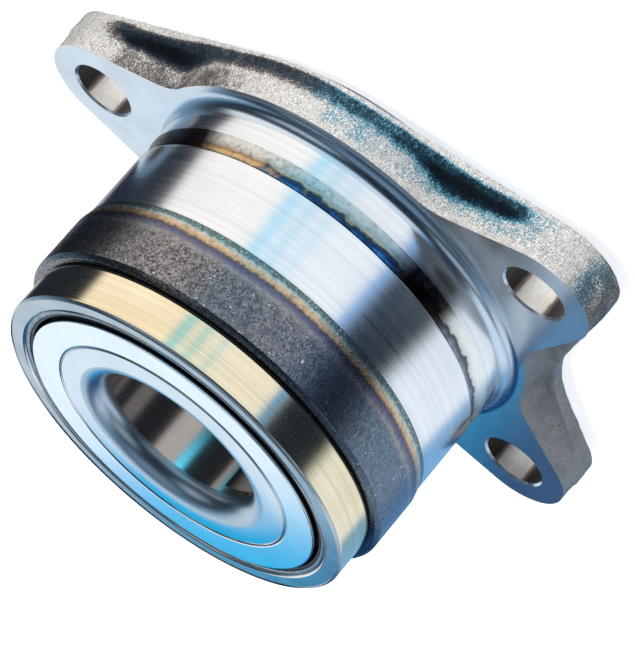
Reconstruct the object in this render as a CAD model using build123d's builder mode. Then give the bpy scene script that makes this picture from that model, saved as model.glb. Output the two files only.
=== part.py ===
"""Flanged wheel hub bearing: a double row of angular contact balls in a flanged outer ring.

Frame: the origin is on the bearing axis, in the rear face of the flange.  +Z runs along the
axis towards the nose, the long end that stands in front of the flange.  X is parallel to the
line through the two upper bolt holes.  Millimetres.
"""
from build123d import *
import os
from math import cos, pi, radians, sin, sqrt

os.makedirs("parts", exist_ok=True)

# ---------------------------------------------------------------- driving dimensions
# Inner rings
bore_radius = 14.0
bore_rounding = 3.4
inner_wall = 4.44  # between the bore and the nearest point of a ball
inner_shoulder = 3.16  # height of the shoulder over that point
ring_corner = 0.4
nose_proud = 0.3  # inner ring face ahead of the outer ring's nose
tail_recess = 0.2  # inner ring face inside the outer ring's tail

# Balls and the two rows they run in
ball_diameter = 9.525
balls_per_row = 13
contact_angle = 36.0
row_spacing = 21.0
ball_play = 0.15
race_relief = 0.19  # radius of a raceway over that of the balls in contact with it
outer_shoulder = 2.16  # depth of the outer raceways below the rib between them

# Cages
cage_play = 0.45  # to the inner ring's shoulder and to the outer ring's rib
pocket_play = 0.15
cage_rim = 1.4
cage_finger = 3.2

# Clip that holds the two inner rings together
clip_recess = 0.4  # clip below the surface of the bore
clip_wall = 0.7
clip_hook = 0.8
clip_half_length = 3.6
clip_hook_length = 1.0
clip_play = 0.1

# Flange
flange_thickness = 7.5
bolt_circle_radius = 45.5
upper_hole_angle = 21.7
lower_hole_angle = -54.5
bolt_hole_radius = 5.25
hole_chamfer = 0.35
upper_lug_radius = 9.8
lower_lug_radius = 9.6
collar_width = 1.2  # machined face round the root fillet, between the lugs
lug_root_radius = 25.5  # circle that the flanks of a lug are tangent to
lug_blend = 8.0
forging_draft = 0.4  # growth of the outline from the front face to the rear face
valley_radius = 1.8  # hollow between the forged flank and the rim behind it
valley_run = 2.0  # reach of the hollow over the rounded edge of the rim
rim_thickness = 2.4
rim_edge = 0.8
rim_back_edge = 0.6
rim_belly = 0.7  # rim outside the collar on the long upper side
rim_root = 4.3  # root circle of the lower lugs' rim inside the collar
rim_blend = 22.0

# Outside of the outer ring, from the nose backwards
nose_length = 41.0
nose_wall = 3.1  # outside the seal's seat
nose_chamfer = 0.5
nose_band = 6.9
undercut_width = 0.5
undercut_depth = 0.4
hardened_step = 1.6  # height over the nose band
hardened_band = 12.15
hardened_edge = 0.7
hardened_taper = 2.3
land_step = 0.5  # depth below the hardened band
land_length = 3.45  # between the groove and the root fillet
groove_width = 3.65
groove_depth = 0.8
groove_wall = 0.6
root_fillet = 2.2
spigot_step = 0.7  # depth below the land
spigot_length = 3.0
spigot_chamfer = 0.6

# Seals: a slinger on the inner ring, a case in the outer ring and rubber on the case
seal_seat = 0.535  # seat of the seal outside the balls
slinger_gap = 0.5  # between the slinger's disc and the rubber skirt
slinger_wall = 0.7
slinger_length = 6.0
slinger_inset = 0.15
case_wall = 0.8
case_inset = 0.4
case_length = 6.1
case_opening = 1.6  # between the case's floor and the slinger's sleeve
rubber_skirt = 0.5
skirt_inset = 0.2
rubber_base = 0.9
lip_play = 0.2
lip_thickness = 0.6
lip_lean = 0.9

# ---------------------------------------------------------------- derived sizes
nose_end = flange_thickness + nose_length
tail_end = -spigot_length
inner_front = nose_end + nose_proud
inner_rear = tail_end + tail_recess
parting = (inner_front + inner_rear) / 2
ball_radius = ball_diameter / 2
pitch_radius = bore_radius + inner_wall + ball_radius
shoulder_radius = pitch_radius - ball_radius + inner_shoulder
rib_radius = pitch_radius + ball_radius - outer_shoulder
race_radius = ball_radius + race_relief + ball_play
seal_seat_depth = case_inset + case_length
seal_bore_radius = pitch_radius + ball_radius + seal_seat
slinger_radius = seal_bore_radius - case_wall - rubber_skirt - slinger_gap
case_opening_radius = shoulder_radius + slinger_wall + case_opening
nose_radius = seal_bore_radius + nose_wall
hardened_radius = nose_radius + hardened_step
land_radius = hardened_radius - land_step
spigot_radius = land_radius - spigot_step
collar_radius = land_radius + root_fillet + collar_width
rim_belly_radius = collar_radius + rim_belly
rim_root_radius = collar_radius - rim_root
near = 0.02  # closeness at which a sketch corner counts as lying on a circle


def on_bolt_circle(angle):
    """A bolt hole and its mirror image across the upright axis."""
    x = bolt_circle_radius * cos(radians(angle))
    y = bolt_circle_radius * sin(radians(angle))
    return [(x, y), (-x, y)]


upper_holes = on_bolt_circle(upper_hole_angle)
lower_holes = on_bolt_circle(lower_hole_angle)


def save(piece, name):
    """Label a finished piece and write it to its own file."""
    piece.part.label = name
    export_step(piece.part, f"parts/{name}.step")


class Row:
    """One row of balls and its end of the bearing; towards is +1 at the nose, -1 at the tail."""

    def __init__(self, name, towards, outer_end, inner_face):
        self.name = name
        self.towards = towards
        self.outer_end = outer_end
        self.inner_face = inner_face
        self.z = parting + towards * row_spacing / 2
        drop = race_relief * cos(radians(contact_angle))
        lean = towards * race_relief * sin(radians(contact_angle))
        self.outer_race = (pitch_radius - drop, self.z + lean)
        self.inner_race = (pitch_radius + drop, self.z - lean)
        self.outer_bottom = self.outer_race[0] + race_radius
        self.inner_bottom = self.inner_race[0] - race_radius

    def raceway(self, centre, side, edge_radius, edge_towards):
        """Three points of a raceway: its bottom, a point half way and its run-out edge."""
        rise = edge_radius - centre[0]
        reach = edge_towards * sqrt(race_radius**2 - rise**2)
        half = Vector(rise + side * race_radius, reach).normalized() * race_radius
        bottom = (centre[0] + side * race_radius, centre[1])
        middle = (centre[0] + half.X, centre[1] + half.Y)
        return bottom, middle, (edge_radius, centre[1] + reach)

    def outer_raceway(self):
        """Raceway in the outer ring; it runs out into the rib between the rows."""
        return self.raceway(self.outer_race, 1, rib_radius, -self.towards)

    def inner_raceway(self):
        """Raceway on the inner ring; it runs out into the high shoulder at the ring's face."""
        return self.raceway(self.inner_race, -1, shoulder_radius, self.towards)

    def inwards(self, start, depth):
        """Height that lies a depth inside a face at this end of the bearing."""
        return start - self.towards * depth


front = Row("front", 1, nose_end, inner_front)
rear = Row("rear", -1, tail_end, inner_rear)


# ---------------------------------------------------------------- outer ring
def corners_between(sketch, nearest, furthest):
    """The corners of a sketch that lie between two distances from the bearing axis."""
    return sketch.vertices().filter_by(lambda v: nearest < sqrt(v.X**2 + v.Y**2) < furthest)


def draw_lugs(holes, lug_radius, root_radius):
    """Add lugs whose straight flanks are tangent to a circle round the bearing axis."""
    with BuildSketch(mode=Mode.PRIVATE) as lugs:
        Circle(root_radius)
        with Locations(*holes):
            Circle(lug_radius)
        make_hull()
    add(lugs.sketch)


def draw_flank_outline(outline, growth):
    """Draw the outline of the machined front face, grown outwards all round."""
    collar = collar_radius + growth
    Circle(collar)
    for hole in upper_holes:
        draw_lugs([hole], upper_lug_radius + growth, lug_root_radius + growth)
    for hole in lower_holes:
        draw_lugs([hole], lower_lug_radius + growth, lug_root_radius + growth)
    fillet(corners_between(outline, collar - near, collar + near), lug_blend - growth)


def draw_rim_outline():
    """Draw the thin rim behind the lugs, bowed outwards along the long upper side."""
    draw_lugs(upper_holes, upper_lug_radius + forging_draft, rim_belly_radius)
    for hole in lower_holes:
        draw_lugs([hole], lower_lug_radius + forging_draft, rim_root_radius)
    # Grown and then shrunk by the same amount, the outline keeps rounded hollow corners
    offset(amount=rim_blend, kind=Kind.INTERSECTION)
    offset(amount=-rim_blend)


hardened_front = nose_end - nose_band - undercut_width
hardened_rear = hardened_front - hardened_band
fillet_top = flange_thickness + root_fillet
groove_rear = fillet_top + land_length
groove_front = groove_rear + groove_width
fillet_foot = land_radius + root_fillet
fillet_dip = root_fillet * (1 - sqrt(0.5))
valley_top = rim_thickness + valley_radius
valley_middle = valley_top - valley_radius * sqrt(0.5)
skirt_top = rim_thickness - rim_edge
flank = [
    (flange_thickness, 0),
    ((flange_thickness + valley_top) / 2, 0),
    (valley_top, 0),
    (valley_middle, valley_radius * (1 - sqrt(0.5))),
    (rim_thickness, valley_radius),
    (skirt_top, valley_radius + valley_run),
]

# Thin forged rim behind the lugs, and the room inside its outline up to the machined face
with BuildPart() as rim:
    with BuildSketch(Plane.XY) as rim_outline:
        draw_rim_outline()
    extrude(amount=rim_thickness)
    fillet(rim.faces().sort_by(Axis.Z)[-1].edges(), rim_edge)
with BuildPart() as rim_room:
    extrude(rim_outline.sketch, amount=flange_thickness)
    fillet(rim_room.faces().sort_by(Axis.Z)[0].edges(), rim_back_edge)

with BuildPart() as outer_ring:
    # Forged lugs and collar: drafted, hollowed where they run out into the rim
    for height, hollow in flank:
        draft = forging_draft * (1 - height / flange_thickness)
        with BuildSketch(Plane.XY.offset(height)) as level:
            draw_flank_outline(level, draft + hollow)
    loft()
    extrude(level.sketch, amount=-skirt_top)
    add(rim.part)
    add(rim_room.part, mode=Mode.INTERSECT)
    # Turned body in front of the flange and the spigot behind it
    with BuildSketch(Plane.XZ) as body_section:
        with BuildLine():
            Polyline(
                (rib_radius, nose_end),
                (nose_radius - nose_chamfer, nose_end),
                (nose_radius, nose_end - nose_chamfer),
                (nose_radius, nose_end - nose_band),
                (nose_radius - undercut_depth, nose_end - nose_band),
                (nose_radius - undercut_depth, hardened_front),
                (hardened_radius - hardened_edge, hardened_front),
                (hardened_radius, hardened_front - hardened_edge),
                (hardened_radius, hardened_rear + hardened_taper),
                (land_radius, hardened_rear),
                (land_radius, groove_front),
                (land_radius - groove_depth, groove_front - groove_wall),
                (land_radius, groove_rear),
                (land_radius, fillet_top),
            )
            ThreePointArc(
                (land_radius, fillet_top),
                (land_radius + fillet_dip, flange_thickness + fillet_dip),
                (fillet_foot, flange_thickness),
            )
            Polyline(
                (fillet_foot, flange_thickness),
                (fillet_foot, 0),
                (spigot_radius, 0),
                (spigot_radius, tail_end + spigot_chamfer),
                (spigot_radius - spigot_chamfer, tail_end),
                (rib_radius, tail_end),
                (rib_radius, nose_end),
            )
        make_face()
    revolve(axis=Axis.Z)
    # Bore: a seal seat at each end, a raceway for each row and the rib between them
    with BuildSketch(Plane.XZ) as bore_section:
        with BuildLine():
            for row in (front, rear):
                Polyline(
                    (0, row.outer_end),
                    (seal_bore_radius, row.outer_end),
                    (seal_bore_radius, row.inwards(row.outer_end, seal_seat_depth)),
                    (row.outer_bottom, row.inwards(row.outer_end, seal_seat_depth)),
                    row.outer_raceway()[0],
                )
                ThreePointArc(*row.outer_raceway())
            Line(front.outer_raceway()[2], rear.outer_raceway()[2])
            Line((0, front.outer_end), (0, rear.outer_end))
        make_face()
    revolve(axis=Axis.Z, mode=Mode.SUBTRACT)
    # Bolt holes, chamfered in the machined face
    with Locations(*[(x, y, flange_thickness) for x, y in upper_holes + lower_holes]):
        CounterSinkHole(bolt_hole_radius, bolt_hole_radius + hole_chamfer, counter_sink_angle=90)
save(outer_ring, "outer_ring")


# ---------------------------------------------------------------- inner rings and their clip
def make_inner_ring(row):
    """One of the two inner rings, cut back at the parting plane for the clip."""
    face = row.inner_face
    recess = bore_radius + clip_recess + clip_wall + clip_play
    hook_recess = recess + clip_hook
    hook_start = parting + row.towards * (clip_half_length - clip_hook_length - clip_play)
    hook_end = parting + row.towards * (clip_half_length + clip_play)
    rounding_dip = bore_rounding * (1 - sqrt(0.5))
    with BuildPart() as ring:
        with BuildSketch(Plane.XZ):
            with BuildLine():
                ThreePointArc(
                    (bore_radius, row.inwards(face, bore_rounding)),
                    (bore_radius + rounding_dip, row.inwards(face, rounding_dip)),
                    (bore_radius + bore_rounding, face),
                )
                Polyline(
                    (bore_radius + bore_rounding, face),
                    (shoulder_radius - ring_corner, face),
                    (shoulder_radius, row.inwards(face, ring_corner)),
                    row.inner_raceway()[2],
                )
                ThreePointArc(*row.inner_raceway())
                Polyline(
                    row.inner_raceway()[0],
                    (row.inner_bottom, parting),
                    (recess, parting),
                    (recess, hook_start),
                    (hook_recess, hook_start),
                    (hook_recess, hook_end),
                    (bore_radius, hook_end),
                    (bore_radius, row.inwards(face, bore_rounding)),
                )
            make_face()
        revolve(axis=Axis.Z)
    return ring


for row in (front, rear):
    save(make_inner_ring(row), f"{row.name}_inner_ring")

with BuildPart() as ring_clip:
    with BuildSketch(Plane.XZ):
        with BuildLine():
            clip_radius = bore_radius + clip_recess
            sleeve = clip_radius + clip_wall
            for side in (1, -1):
                Polyline(
                    (clip_radius, parting),
                    (clip_radius, parting + side * clip_half_length),
                    (sleeve + clip_hook, parting + side * clip_half_length),
                    (sleeve + clip_hook, parting + side * (clip_half_length - clip_hook_length)),
                    (sleeve, parting + side * (clip_half_length - clip_hook_length)),
                    (sleeve, parting),
                )
        make_face()
    revolve(axis=Axis.Z)
save(ring_clip, "inner_ring_clip")


# ---------------------------------------------------------------- cages and balls
def make_cage(row):
    """A moulded snap cage: a rim on the side of the seal and fingers between the balls."""
    inside = shoulder_radius + cage_play
    outside = rib_radius - cage_play
    pocket_radius = ball_radius + pocket_play
    with BuildPart() as cage:
        with BuildSketch(Plane.XZ):
            with BuildLine():
                Polyline(
                    (inside, row.z - row.towards * cage_finger),
                    (outside, row.z - row.towards * cage_finger),
                    (outside, row.z + row.towards * (pocket_radius + cage_rim)),
                    (inside, row.z + row.towards * (pocket_radius + cage_rim)),
                    close=True,
                )
            make_face()
        revolve(axis=Axis.Z)
        with Locations((0, 0, row.z)):
            with PolarLocations(pitch_radius, balls_per_row):
                Sphere(pocket_radius, mode=Mode.SUBTRACT)
    return cage


def make_ball(row, number):
    """One ball of a row, in its pocket."""
    angle = 2 * pi * number / balls_per_row
    with BuildPart() as ball:
        with Locations((pitch_radius * cos(angle), pitch_radius * sin(angle), row.z)):
            Sphere(ball_radius)
    return ball


for row in (front, rear):
    save(make_cage(row), f"{row.name}_cage")
    for number in range(balls_per_row):
        save(make_ball(row, number), f"{row.name}_ball_{number + 1:02d}")


# ---------------------------------------------------------------- seals
def revolved(points):
    """A closed ring with the given section in the half plane of radius and height."""
    with BuildPart() as ring:
        with BuildSketch(Plane.XZ):
            with BuildLine():
                Polyline(*points, close=True)
            make_face()
        revolve(axis=Axis.Z)
    return ring


def make_slinger(row):
    """Bent steel ring on the inner ring's shoulder, with the disc that shows at the end."""
    face = row.inwards(row.inner_face, slinger_inset)
    back = row.inwards(face, slinger_wall)
    sleeve = shoulder_radius + slinger_wall
    return revolved([
        (shoulder_radius, face),
        (slinger_radius, face),
        (slinger_radius, back),
        (sleeve, back),
        (sleeve, row.inwards(face, slinger_length)),
        (shoulder_radius, row.inwards(face, slinger_length)),
    ])


def make_seal_case(row):
    """Bent steel ring pressed into the outer ring."""
    rim = row.inwards(row.outer_end, case_inset)
    floor = row.inwards(rim, case_length)
    return revolved([
        (seal_bore_radius, rim),
        (seal_bore_radius - case_wall, rim),
        (seal_bore_radius - case_wall, row.inwards(floor, -case_wall)),
        (case_opening_radius, row.inwards(floor, -case_wall)),
        (case_opening_radius, floor),
        (seal_bore_radius, floor),
    ])


def make_seal_rubber(row):
    """Rubber moulded on the case: a skirt, a radial lip on the sleeve and a lip on the disc."""
    case_rim = row.inwards(row.outer_end, case_inset)
    case_floor = row.inwards(case_rim, case_length)
    floor_front = row.inwards(case_floor, -case_wall)
    base = row.inwards(floor_front, -rubber_base)
    case_inside = seal_bore_radius - case_wall
    skirt_inside = case_inside - rubber_skirt
    skirt_end = row.inwards(case_rim, skirt_inset)
    heel_radius = case_opening_radius - rubber_base
    sleeve_tip = shoulder_radius + slinger_wall + lip_play
    disc_back = row.inwards(row.inner_face, slinger_inset + slinger_wall)
    disc_tip = row.inwards(disc_back, lip_play)
    lip_root = (heel_radius + skirt_inside) / 2
    return revolved([
        (case_inside, skirt_end),
        (case_inside, floor_front),
        (case_opening_radius, floor_front),
        (case_opening_radius, case_floor),
        (heel_radius, case_floor),
        (sleeve_tip, (case_floor + floor_front) / 2),
        (sleeve_tip, floor_front),
        (heel_radius, base),
        (lip_root - lip_thickness, base),
        (lip_root + lip_lean - lip_thickness / 2, disc_tip),
        (lip_root + lip_lean, disc_tip),
        (lip_root + lip_thickness / 2, base),
        (skirt_inside, base),
        (skirt_inside, skirt_end),
    ])


for row in (front, rear):
    save(make_slinger(row), f"{row.name}_slinger")
    save(make_seal_case(row), f"{row.name}_seal_case")
    save(make_seal_rubber(row), f"{row.name}_seal_rubber")
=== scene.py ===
"""Wheel hub bearing with a flanged outer ring: its fine shape, its finishes and a plain studio.

Lengths are in millimetres and angles in degrees; only the last step of each mesh turns them
into metres.  The bearing axis is Z and the nose of the ring points to +Z.
"""

from functools import cached_property
from math import cos, pi, radians, sin, sqrt

import bpy
import numpy as np
from mathutils import Matrix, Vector
from mathutils.geometry import delaunay_2d_cdt


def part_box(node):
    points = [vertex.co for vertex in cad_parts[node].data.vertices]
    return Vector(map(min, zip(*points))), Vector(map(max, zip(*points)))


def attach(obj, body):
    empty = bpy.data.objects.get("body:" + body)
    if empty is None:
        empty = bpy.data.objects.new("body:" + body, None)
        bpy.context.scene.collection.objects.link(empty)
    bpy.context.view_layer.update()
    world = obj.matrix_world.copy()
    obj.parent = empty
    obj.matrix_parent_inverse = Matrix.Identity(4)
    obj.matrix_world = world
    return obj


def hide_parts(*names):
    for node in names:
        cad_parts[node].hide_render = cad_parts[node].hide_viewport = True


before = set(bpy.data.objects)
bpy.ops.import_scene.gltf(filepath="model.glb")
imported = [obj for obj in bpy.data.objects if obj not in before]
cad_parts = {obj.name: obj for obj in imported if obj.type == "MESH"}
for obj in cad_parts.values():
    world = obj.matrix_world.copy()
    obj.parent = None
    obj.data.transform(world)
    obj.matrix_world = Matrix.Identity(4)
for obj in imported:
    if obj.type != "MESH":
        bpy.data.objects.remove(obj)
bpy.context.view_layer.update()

METRES = 0.001
PER_METRE = 1 / METRES
LOW, HIGH = 0, 1
ACROSS, UP = 0, 2
STUDIO = bpy.context.scene.collection


# ---------------------------------------------------------------- sizes
def size_of(node, corner, axis):
    """One coordinate of a node's box in millimetres; the corner is LOW or HIGH."""
    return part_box(node)[corner][axis] / METRES


def middle_of(node, axis):
    """Middle of a node's box along an axis, in millimetres."""
    return (size_of(node, HIGH, axis) + size_of(node, LOW, axis)) / 2


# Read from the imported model
NOSE_END = size_of("outer_ring", HIGH, UP)
TAIL_END = size_of("outer_ring", LOW, UP)
INNER_FRONT = size_of("front_inner_ring", HIGH, UP)
INNER_REAR = size_of("rear_inner_ring", LOW, UP)
PARTING = size_of("front_inner_ring", LOW, UP)
SHOULDER_RADIUS = size_of("front_inner_ring", HIGH, ACROSS)
SLINGER_RADIUS = size_of("front_slinger", HIGH, ACROSS)
SEAL_BORE_RADIUS = size_of("front_seal_case", HIGH, ACROSS)
BALL_DIAMETER = size_of("front_ball_01", HIGH, ACROSS) - size_of("front_ball_01", LOW, ACROSS)
PITCH_RADIUS = middle_of("front_ball_01", ACROSS)
FRONT_ROW = middle_of("front_ball_01", UP)
REAR_ROW = middle_of("rear_ball_01", UP)
BALLS_PER_ROW = sum(name.startswith("front_ball_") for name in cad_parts)

# Inner rings and raceways
BORE_RADIUS = 14.0
BORE_ROUNDING = 3.4
SHOULDER_EDGE = 0.4
RACE_RADIUS = BALL_DIAMETER / 2 + 0.34
RACE_DROP = 0.154
RACE_LEAN = 0.112
RACE_STEPS = 10
RIB_RADIUS = 25.8

# Flange: bolt holes, lugs, forged flank and lower rim
FLANGE_THICKNESS = 7.5
BOLT_CIRCLE = 45.5
UPPER_HOLE_ANGLE = 21.7
LOWER_HOLE_ANGLE = -54.5
BOLT_HOLE_RADIUS = 5.25
HOLE_CHAMFER = 0.35
HOLE_BACK_EDGE = 0.25
UPPER_LUG_RADIUS = 9.8
LOWER_LUG_RADIUS = 9.6
COLLAR_RADIUS = 36.1
LUG_ROOT_RADIUS = 25.5
LUG_BLEND = 8.0
FORGING_DRAFT = 0.4
VALLEY_RADIUS = 1.8
VALLEY_RUN = 2.0
RIM_THICKNESS = 2.4
RIM_EDGE = 0.8
RIM_BACK_EDGE = 0.6
RIM_BELLY_RADIUS = 36.8
RIM_ROOT_RADIUS = 31.8
RIM_BLEND = 22.0

# Turned outside of the ring, from the nose down to the spigot
NOSE_RADIUS = 31.6
NOSE_CHAMFER = 0.5
NOSE_BAND = 6.9
UNDERCUT_WIDTH = 0.5
UNDERCUT_DEPTH = 0.4
HARDENED_RADIUS = 33.2
HARDENED_BAND = 12.15
HARDENED_EDGE = 0.7
HARDENED_TAPER = 2.3
HEAT_WIDTH = 5.2
LAND_RADIUS = 32.7
LAND_LENGTH = 3.45
GROOVE_WIDTH = 3.65
GROOVE_DEPTH = 0.8
GROOVE_WALL = 0.6
ROOT_FILLET = 2.2
SPIGOT_RADIUS = 32.0
SPIGOT_CHAMFER = 0.6
SPIGOT_HIDE = 0.4
SEAT_CHAMFER = 0.3
FLANGE_OVERLAP = 0.3

# Broken edges: corners sharper than an angle get one, and long straights stay flat beside it
EDGE_BREAK = 0.1
RING_EDGE = 0.05
CLIP_EDGE = 0.06
SLINGER_EDGE = 0.15
CASE_EDGE = 0.2
RUBBER_EDGE = 0.08
CORNER_ANGLE = 25
MOST_CUT = 0.3
LEAST_CUT = 0.01
NO_LENGTH = 1e-6
FLAT_FROM = 2.0
FLAT_STEP = 0.12

# Clip between the inner rings
CLIP_RADIUS = 14.4
CLIP_WALL = 0.7
CLIP_HOOK = 0.8
CLIP_HALF_LENGTH = 3.6
CLIP_HOOK_LENGTH = 1.0
CLIP_PLAY = 0.1

# Seals: slinger, pressed case and rubber
SLINGER_WALL = 0.7
SLINGER_LENGTH = 6.0
SLINGER_INSET = 0.15
CASE_WALL = 0.8
CASE_INSET = 0.4
CASE_LENGTH = 6.1
CASE_OPENING = 23.9
RUBBER_SKIRT = 0.5
SKIRT_INSET = 0.2
RUBBER_BASE = 0.9
LIP_PLAY = 0.2
LIP_THICKNESS = 0.6
LIP_LEAN = 0.9

HARDENED_FRONT = NOSE_END - NOSE_BAND - UNDERCUT_WIDTH
HARDENED_REAR = HARDENED_FRONT - HARDENED_BAND
FILLET_TOP = FLANGE_THICKNESS + ROOT_FILLET
FILLET_FOOT = LAND_RADIUS + ROOT_FILLET
GROOVE_REAR = FILLET_TOP + LAND_LENGTH
GROOVE_FRONT = GROOVE_REAR + GROOVE_WIDTH
MIDDLE = (0, 0, (NOSE_END + TAIL_END) / 2)


# ---------------------------------------------------------------- material helpers
class Nodes:
    """Short calls for building a shader tree."""

    def __init__(self, tree):
        self.tree = tree

    def node(self, kind, **settings):
        made = self.tree.nodes.new(kind)
        for key, value in settings.items():
            setattr(made, key, value)
        return made

    def feed(self, socket, value):
        """Link a socket to another one, or give it a plain value."""
        if isinstance(value, bpy.types.NodeSocket):
            self.tree.links.new(value, socket)
        elif isinstance(value, tuple) and len(value) == 3 and len(socket.default_value) == 4:
            socket.default_value = (*value, 1)
        else:
            socket.default_value = value

    def math(self, operation, *values):
        made = self.node("ShaderNodeMath", operation=operation)
        for socket, value in zip(made.inputs, values):
            self.feed(socket, value)
        return made.outputs[0]

    def add(self, first, second):
        return self.math("ADD", first, second)

    def times(self, first, second):
        return self.math("MULTIPLY", first, second)

    def span(self, value, low, high, start=0.0, end=1.0, smooth=False):
        """Map a value from low..high to start..end and hold it there."""
        kind = "SMOOTHSTEP" if smooth else "LINEAR"
        made = self.node("ShaderNodeMapRange", interpolation_type=kind)
        for socket, given in zip(made.inputs, (value, low, high, start, end)):
            self.feed(socket, given)
        return made.outputs[0]

    def swing(self, noise, start=0.0, end=1.0):
        """Spread the usual range of a noise over start..end."""
        return self.span(noise, 0.3, 0.7, start, end)

    def mix(self, amount, first, second, blend="MIX"):
        made = self.node("ShaderNodeMix", data_type="RGBA", blend_type=blend)
        self.feed(made.inputs["Factor"], amount)
        self.feed(made.inputs[6], first)
        self.feed(made.inputs[7], second)
        return made.outputs[2]

    def over(self, tint, *layers):
        """Lay colours over a tint; each grows to its share as its value goes from low to high."""
        for value, low, high, share, colour in layers:
            tint = self.mix(self.span(value, low, high, 0.0, share), tint, colour)
        return tint

    def split(self, vector):
        """The three parts of a vector."""
        made = self.node("ShaderNodeSeparateXYZ")
        self.feed(made.inputs[0], vector)
        return made.outputs

    def off_axis(self, x, y):
        """Distance of (x, y) from the axis."""
        return self.math("SQRT", self.add(self.times(x, x), self.times(y, y)))

    def turned_to(self, azimuth, x, y):
        """From -1 to 1: how far (x, y) is turned towards an azimuth."""
        a = radians(azimuth)
        along = self.add(self.times(x, cos(a)), self.times(y, sin(a)))
        return self.math("DIVIDE", along, self.off_axis(x, y))

    def facing(self, turned, outside, within, smooth=True):
        """From 0 outside one angle to 1 within another, off the azimuth of a turned_to value."""
        limits = cos(radians(outside)), cos(radians(within))
        return self.span(turned, *limits, smooth=smooth)


class Finish(Nodes):
    """A node material with short calls for what metal finishes need."""

    def __init__(self, name):
        self.material = bpy.data.materials.new(name)
        self.material.use_nodes = True
        super().__init__(self.material.node_tree)
        self.shader = self.tree.nodes["Principled BSDF"]
        self.place = self.node("ShaderNodeTexCoord").outputs["Object"]

    @cached_property
    def xyz(self):
        """The three coordinates of a place, in metres."""
        return self.split(self.place)

    def across(self):
        """Distance from the axis, in millimetres."""
        return self.times(self.off_axis(*self.xyz[:2]), PER_METRE)

    def height(self):
        """Height along the axis, in millimetres."""
        return self.times(self.xyz[2], PER_METRE)

    def side(self, azimuth):
        """From -1 to 1: how far a place on the ring is turned towards an azimuth."""
        return self.turned_to(azimuth, *self.xyz[:2])

    def stretched(self, along_axis, across_axis):
        """Coordinates in millimetres, scaled one way along the axis and another across it."""
        joined = self.node("ShaderNodeCombineXYZ")
        scales = (across_axis, across_axis, along_axis)
        for socket, value, scale in zip(joined.inputs, self.xyz, scales):
            self.feed(socket, self.times(value, scale * PER_METRE))
        return joined.outputs[0]

    def noise(self, scale, detail=3.0, roughness=0.5, where=None):
        """Noise with a value from 0 to 1; scale is in repeats per unit of the coordinates."""
        made = self.node("ShaderNodeTexNoise")
        self.feed(made.inputs["Vector"], self.place if where is None else where)
        made.inputs["Scale"].default_value = scale
        made.inputs["Detail"].default_value = detail
        made.inputs["Roughness"].default_value = roughness
        return made.outputs["Fac"]

    def attribute(self, name):
        """A value that the mesh carries at its points."""
        return self.node("ShaderNodeAttribute", attribute_name=name).outputs["Fac"]

    def ramp(self, value, stops):
        """Colours at places along a value."""
        made = self.node("ShaderNodeValToRGB")
        band = made.color_ramp
        while len(band.elements) < len(stops):
            band.elements.new(0.5)
        for element, (place, colour) in zip(band.elements, stops):
            element.position = place
            element.color = (*colour, 1)
        self.feed(made.inputs[0], value)
        return made.outputs[0]

    def bump(self, height, depth, onto=None):
        """Relief with a depth in millimetres."""
        made = self.node("ShaderNodeBump")
        made.inputs["Distance"].default_value = depth * METRES
        self.feed(made.inputs["Height"], height)
        if onto is not None:
            self.feed(made.inputs["Normal"], onto)
        return made.outputs[0]

    def set(self, **values):
        """Feed sockets of the surface shader, named with underscores for spaces."""
        for key, value in values.items():
            self.feed(self.shader.inputs[key.replace("_", " ")], value)
        return self.material


def darker(colour, spread):
    return tuple(channel * (1 - spread) for channel in colour)


def ground_steel(name, colour, shade, roughness, line_depth, streak=0.35, lines=9.0, level=0.0):
    """Steel ground or polished in the lathe: fine lines run round the axis."""
    finish = Finish(name)
    fine = finish.noise(1.0, 2.0, where=finish.stretched(lines, 0.02))
    broad = finish.noise(1.0, 3.0, where=finish.stretched(1.6, 0.02))
    cloud = finish.noise(60.0, 4.0)
    return finish.set(
        Base_Color=finish.over(
            colour,
            (broad, 0.42, 0.75, streak, shade),
            (cloud, 0.45, 0.8, streak, shade),
            (fine, 0.5, 0.7, level, shade),
        ),
        Metallic=1.0,
        Roughness=finish.swing(fine, roughness * 0.8, roughness * 1.2),
        Normal=finish.bump(fine, line_depth),
    )


def plain_finish(name, colour, metallic, roughness, grain=400.0, depth=0.01, spread=0.25):
    """An even finish with a faint grain."""
    finish = Finish(name)
    grains = finish.noise(grain, 3.0)
    return finish.set(
        Base_Color=finish.over(colour, (grains, 0.35, 0.65, 1.0, darker(colour, spread))),
        Metallic=metallic,
        Roughness=finish.swing(grains, roughness * 0.85, roughness * 1.15),
        Normal=finish.bump(grains, depth),
    )


def faced_finish(name, colour, roughness, pitch=5.0, depth=0.004, metallic=1.0, spread=0.06):
    """A face cut on the lathe: fine rings round the axis, so many to the millimetre."""
    finish = Finish(name)
    rings = finish.math("SINE", finish.times(finish.across(), 2 * pi * pitch))
    cloud = finish.noise(140.0, 3.0)
    grain = finish.noise(1500.0, 2.0)
    return finish.set(
        Base_Color=finish.over(colour, (cloud, 0.35, 0.65, 1.0, darker(colour, spread))),
        Metallic=metallic,
        Roughness=finish.swing(grain, roughness * 0.9, roughness * 1.1),
        Normal=finish.bump(rings, depth),
    )


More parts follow.
